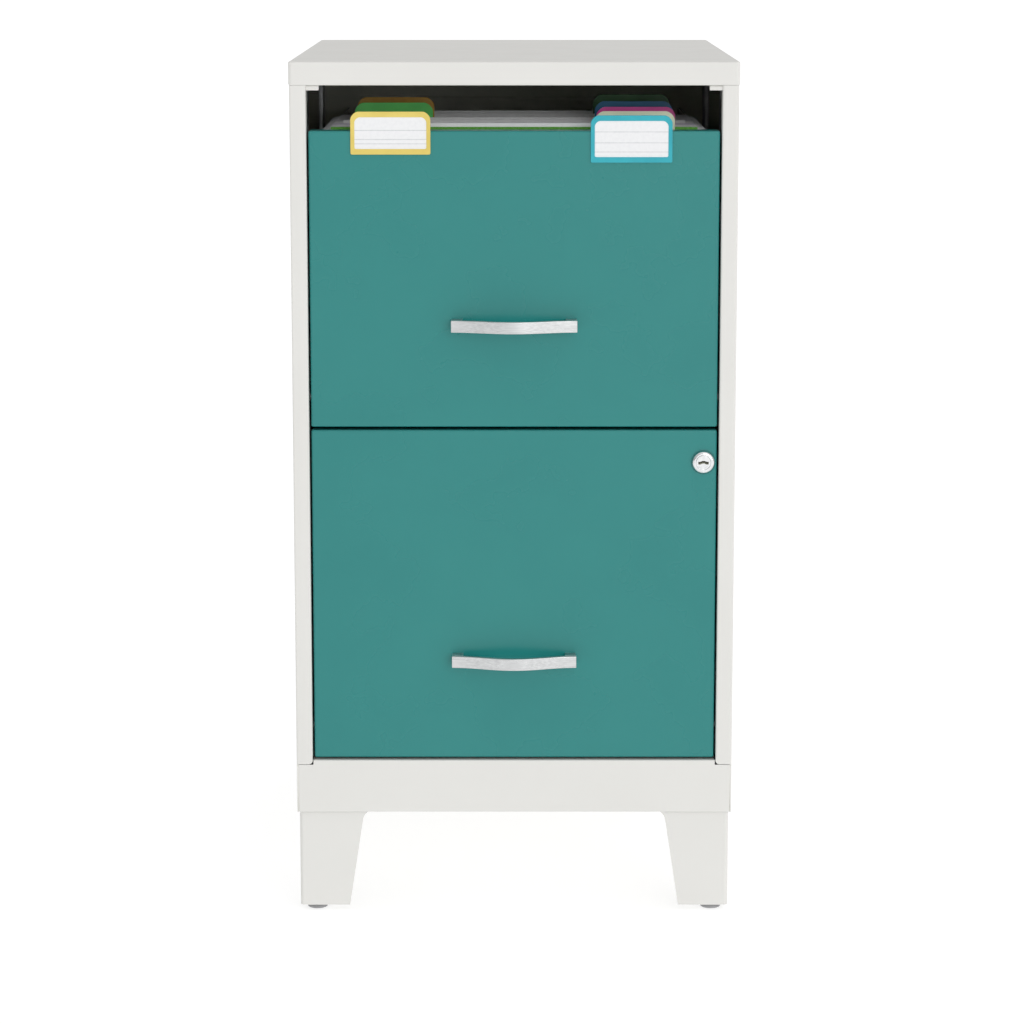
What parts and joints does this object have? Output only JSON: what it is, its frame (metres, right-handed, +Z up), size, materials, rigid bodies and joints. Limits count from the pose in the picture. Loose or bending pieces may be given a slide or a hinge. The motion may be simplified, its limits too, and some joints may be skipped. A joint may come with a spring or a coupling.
{
  "type": "filing cabinet",
  "caption": "Metal filing cabinet on tapered legs: teal drawers with bowed handles in an off-white case, hanging folders in view over the upper drawer, a key lock on the lower one.",
  "frame": {"origin": "on the floor, under the middle of the whole outline, handles included", "axes": "+X to the right seen from the front, -Y out of the front, +Z up"},
  "size_m": [0.3632, 0.4788, 0.708],
  "materials": {
    "white_paint": "satin off-white paint",
    "inner_paint": "thin satin paint",
    "teal_paint": "semi-gloss teal paint",
    "zinc_steel": "bright zinc plate",
    "handle_metal": "fine brushed",
    "lock_metal": "satin nickel",
    "roller_nylon": "moulded nylon",
    "glide_plastic": "moulded",
    "folder_card": "matte card",
    "card_paper": "matte paper",
    "yellow_plastic": "tinted clear plastic",
    "cyan_plastic": "tinted clear plastic",
    "cream_tab_plastic": "moulded",
    "magenta_tab_plastic": "moulded",
    "green_tab_plastic": "moulded",
    "blue_tab_plastic": "moulded",
    "orange_tab_plastic": "moulded",
    "dark_green_tab_plastic": "moulded"
  },
  "bodies": {
    "cabinet": {"top_cap": "white_paint", "left_side_panel": "white_paint", "right_side_panel": "white_paint", "back_panel": "white_paint", "bottom_panel": "white_paint", "front_plinth": "white_paint", "front_gussets": "white_paint", "left_uprights": "zinc_steel", "right_uprights": "zinc_steel", "front_left_leg": "white_paint", "front_right_leg": "white_paint", "rear_left_leg": "white_paint", "rear_right_leg": "white_paint", "leg_bolts": "zinc_steel", "upper_left_cabinet_rail": "zinc_steel", "upper_right_cabinet_rail": "zinc_steel", "lower_left_cabinet_rail": "zinc_steel", "lower_right_cabinet_rail": "zinc_steel"},
    "upper_drawer": {"upper_drawer_front": "teal_paint", "upper_drawer_liner": "inner_paint", "upper_drawer_tray": "inner_paint", "upper_drawer_back": "inner_paint", "upper_left_drawer_rail": "zinc_steel", "upper_right_drawer_rail": "zinc_steel", "upper_handle_bar": "handle_metal", "upper_handle_feet": "handle_metal", "upper_handle_screws": "zinc_steel", "yellow_label_holder": "yellow_plastic", "cyan_label_holder": "cyan_plastic", "label_cards": "card_paper"},
    "lower_drawer": {"lower_drawer_front": "teal_paint", "lower_drawer_liner": "inner_paint", "lower_drawer_tray": "inner_paint", "lower_drawer_back": "inner_paint", "lower_left_drawer_rail": "zinc_steel", "lower_right_drawer_rail": "zinc_steel", "lower_handle_bar": "handle_metal", "lower_handle_feet": "handle_metal", "lower_handle_screws": "zinc_steel", "lock_housing": "lock_metal", "lock_nut": "zinc_steel"},
    "lock": {"lock_plug": "lock_metal", "lock_cam": "zinc_steel"},
    "hanging_files": {"hanging_folders": "folder_card", "cream_tab": "cream_tab_plastic", "magenta_tab": "magenta_tab_plastic", "green_tab": "green_tab_plastic", "blue_tab": "blue_tab_plastic", "orange_tab": "orange_tab_plastic", "dark_green_tab": "dark_green_tab_plastic"},
    "upper_front_rollers": {"upper_front_rollers": "roller_nylon"},
    "lower_front_rollers": {"lower_front_rollers": "roller_nylon"},
    "upper_rear_rollers": {"upper_rear_rollers": "roller_nylon"},
    "lower_rear_rollers": {"lower_rear_rollers": "roller_nylon"},
    "front_left_glide": {"front_left_glide": "glide_plastic"},
    "front_right_glide": {"front_right_glide": "glide_plastic"},
    "rear_left_glide": {"rear_left_glide": "glide_plastic"},
    "rear_right_glide": {"rear_right_glide": "glide_plastic"}
  },
  "joints": [
    {"name": "upper_drawer_slide", "type": "slide", "parent": "cabinet", "child": "upper_drawer", "axis": [0, -1, 0], "range_m": [0, 0.305]},
    {"name": "upper_rear_roller_turn", "type": "hinge", "parent": "upper_drawer", "child": "upper_rear_rollers", "pos_m": [0, 0.2124, 0.432], "axis": [1, 0, 0], "range_deg": [0, 1950]},
    {"name": "upper_front_roller_turn", "type": "hinge", "parent": "cabinet", "child": "upper_front_rollers", "pos_m": [0, -0.1856, 0.432], "axis": [1, 0, 0], "range_deg": [0, 1950]},
    {"name": "lower_drawer_slide", "type": "slide", "parent": "cabinet", "child": "lower_drawer", "axis": [0, -1, 0], "range_m": [0, 0.305]},
    {"name": "lower_rear_roller_turn", "type": "hinge", "parent": "lower_drawer", "child": "lower_rear_rollers", "pos_m": [0, 0.2124, 0.1535], "axis": [1, 0, 0], "range_deg": [0, 1950]},
    {"name": "lower_front_roller_turn", "type": "hinge", "parent": "cabinet", "child": "lower_front_rollers", "pos_m": [0, -0.1856, 0.1535], "axis": [1, 0, 0], "range_deg": [0, 1950]},
    {"name": "lock_turn", "type": "hinge", "parent": "lower_drawer", "child": "lock", "pos_m": [0.155, -0.2156, 0.382], "axis": [0, 1, 0], "range_deg": [0, 90]},
    {"name": "hanging_files_slide", "type": "slide", "parent": "upper_drawer", "child": "hanging_files", "axis": [0, 1, 0], "range_m": [0, 0.24]},
    {"name": "front_left_glide_turn", "type": "hinge", "parent": "cabinet", "child": "front_left_glide", "pos_m": [-0.1654, -0.202, 0], "axis": [0, 0, 1], "range_deg": [-360, 360]},
    {"name": "front_right_glide_turn", "type": "hinge", "parent": "cabinet", "child": "front_right_glide", "pos_m": [0.1654, -0.202, 0], "axis": [0, 0, 1], "range_deg": [-360, 360]},
    {"name": "rear_left_glide_turn", "type": "hinge", "parent": "cabinet", "child": "rear_left_glide", "pos_m": [-0.1654, 0.2238, 0], "axis": [0, 0, 1], "range_deg": [-360, 360]},
    {"name": "rear_right_glide_turn", "type": "hinge", "parent": "cabinet", "child": "rear_right_glide", "pos_m": [0.1654, 0.2238, 0], "axis": [0, 0, 1], "range_deg": [-360, 360]}
  ],
  "couplings": [
    {"joint": "upper_rear_roller_turn", "follows": "upper_drawer_slide", "rad_per_m": 111.11},
    {"joint": "upper_front_roller_turn", "follows": "upper_drawer_slide", "rad_per_m": 111.11},
    {"joint": "lower_rear_roller_turn", "follows": "lower_drawer_slide", "rad_per_m": 111.11},
    {"joint": "lower_front_roller_turn", "follows": "lower_drawer_slide", "rad_per_m": 111.11}
  ]
}
